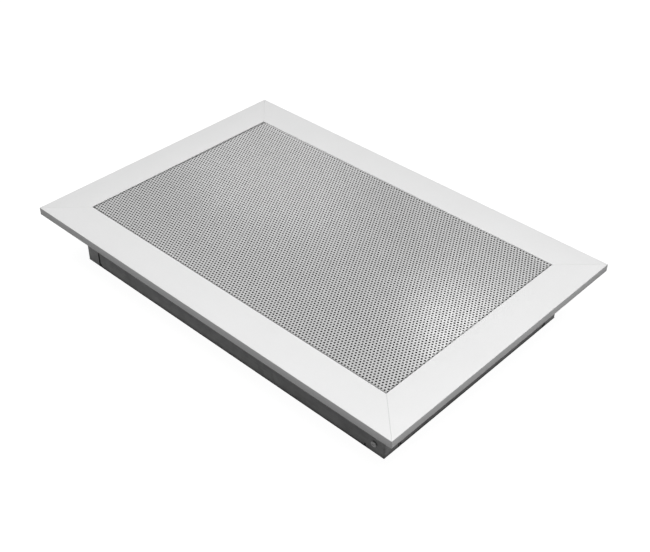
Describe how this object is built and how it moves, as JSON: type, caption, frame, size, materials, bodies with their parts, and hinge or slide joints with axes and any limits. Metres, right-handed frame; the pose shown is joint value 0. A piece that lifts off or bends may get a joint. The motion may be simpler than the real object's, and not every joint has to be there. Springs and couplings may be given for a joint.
{
  "type": "air grille",
  "caption": "Rectangular air grille: flat mitred face frame round a sheet of staggered round holes, with a riveted sheet metal neck behind it.",
  "frame": {"origin": "middle of the plane that the neck's lower rim lies in", "axes": "+X along the long side, +Y along the short side, +Z out of the grille's face"},
  "size_m": [0.478, 0.325, 0.0666],
  "materials": {
    "painted_frame": "white powder coat, matt to satin",
    "perforated_sheet": "satin silver grey coat on a slightly wavy sheet",
    "neck_steel": "mill finish zinc coated sheet",
    "strip_aluminium": "mill finish",
    "key_aluminium": "mill finish",
    "rivet": "mill finish"
  },
  "bodies": {
    "root": {"front_frame_member": "painted_frame", "right_frame_member": "painted_frame", "back_frame_member": "painted_frame", "left_frame_member": "painted_frame", "front_left_corner_key": "key_aluminium", "front_right_corner_key": "key_aluminium", "back_right_corner_key": "key_aluminium", "back_left_corner_key": "key_aluminium", "perforated_sheet": "perforated_sheet", "front_sheet_strip": "strip_aluminium", "right_sheet_strip": "strip_aluminium", "back_sheet_strip": "strip_aluminium", "left_sheet_strip": "strip_aluminium", "front_neck_wall": "neck_steel", "right_neck_wall": "neck_steel", "back_neck_wall": "neck_steel", "left_neck_wall": "neck_steel", "front_frame_rivet_1": "rivet", "front_frame_rivet_2": "rivet", "front_frame_rivet_3": "rivet", "right_frame_rivet_1": "rivet", "right_frame_rivet_2": "rivet", "back_frame_rivet_1": "rivet", "back_frame_rivet_2": "rivet", "back_frame_rivet_3": "rivet", "left_frame_rivet_1": "rivet", "left_frame_rivet_2": "rivet", "front_right_corner_rivet": "rivet", "back_right_corner_rivet": "rivet", "left_front_corner_rivet": "rivet", "left_back_corner_rivet": "rivet"}
  },
  "joints": []
}
